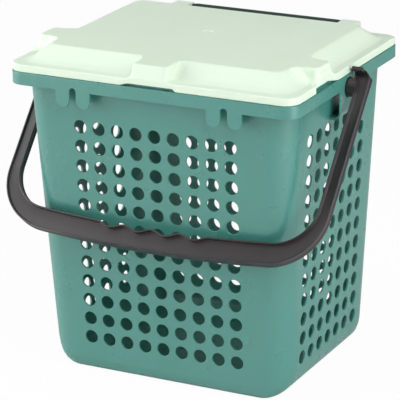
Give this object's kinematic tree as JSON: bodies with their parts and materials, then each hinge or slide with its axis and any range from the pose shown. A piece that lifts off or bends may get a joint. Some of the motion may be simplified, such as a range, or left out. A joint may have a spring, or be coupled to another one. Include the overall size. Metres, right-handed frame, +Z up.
{
  "type": "kitchen compost caddy",
  "caption": "Countertop compost caddy: a tapered plastic bucket with perforated walls, a rear-hinged raised lid with finger lugs, and a swinging bail handle with finger grips.",
  "frame": {"origin": "middle of the bucket's flat base, on the plane it stands on", "axes": "+Z up, -Y towards the front, where the handle hangs, and +X to the right as seen from the front"},
  "size_m": [0.2936, 0.2334, 0.2813],
  "materials": {
    "bucket_green": "satin moulded polypropylene, soft sage green",
    "lid_mint": "satin moulded polypropylene, pale mint",
    "handle_black": "satin moulded polypropylene, warm brownish black"
  },
  "bodies": {
    "bucket": {"bucket": "bucket_green"},
    "lid": {"lid": "lid_mint"},
    "handle": {"handle": "handle_black"}
  },
  "joints": [
    {"name": "lid_hinge", "type": "hinge", "parent": "bucket", "child": "lid", "pos_m": [0, 0.1156, 0.2691], "axis": [-1, 0, 0], "range_deg": [0, 105]},
    {"name": "handle_pivot", "type": "hinge", "parent": "bucket", "child": "handle", "pos_m": [0, -0.0014, 0.2519], "axis": [-1, 0, 0], "range_deg": [0, 277]}
  ]
}
